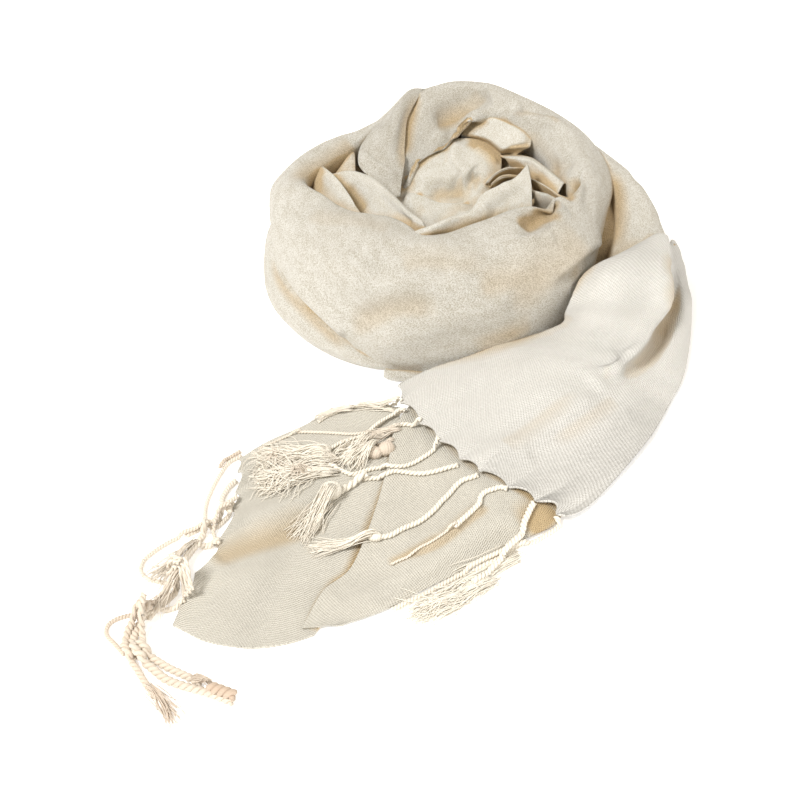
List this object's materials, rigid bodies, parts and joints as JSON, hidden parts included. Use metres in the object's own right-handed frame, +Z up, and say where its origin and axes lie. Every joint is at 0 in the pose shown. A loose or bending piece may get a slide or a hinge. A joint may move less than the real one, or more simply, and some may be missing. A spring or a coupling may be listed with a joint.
{
  "type": "stole wound into a coil",
  "caption": "Fringed cream stole wound into a low coil, with both its ends drawn out flat in front of it.",
  "frame": {"origin": "middle of the whole part's footprint box, on the surface that it lies on", "axes": "+Z up from that surface; +Y from the fringed ends towards the coil; +X to the right, seen from the fringed ends"},
  "size_m": [0.3346, 0.475, 0.1031],
  "materials": {
    "cloth": "soft satin twill with a faint tone-on-tone figure",
    "fringe": "twisted glossy yarn"
  },
  "bodies": {
    "root": {"coil_core": "cloth", "outer_turn": "cloth", "lower_turn": "cloth", "side_turn": "cloth", "outer_sweep": "cloth", "tall_lobe": "cloth", "leaf_left": "cloth", "leaf_mid": "cloth", "leaf_small": "cloth", "leaf_right": "cloth", "dome": "cloth", "collar_roll": "cloth", "inner_roll": "cloth", "right_pleats": "cloth", "heart_pleats": "cloth", "tail_top": "cloth", "tail_core": "cloth", "under_panel": "cloth", "under_core": "cloth", "end_panel": "cloth", "end_core": "cloth", "small_roll": "cloth", "fringe_upper_back": "fringe", "fringe_tuft": "fringe", "fringe_upper_mid": "fringe", "fringe_upper_front": "fringe", "fringe_fold": "fringe", "fringe_edge": "fringe", "fringe_left": "fringe", "fringe_bundle": "fringe"}
  },
  "joints": []
}
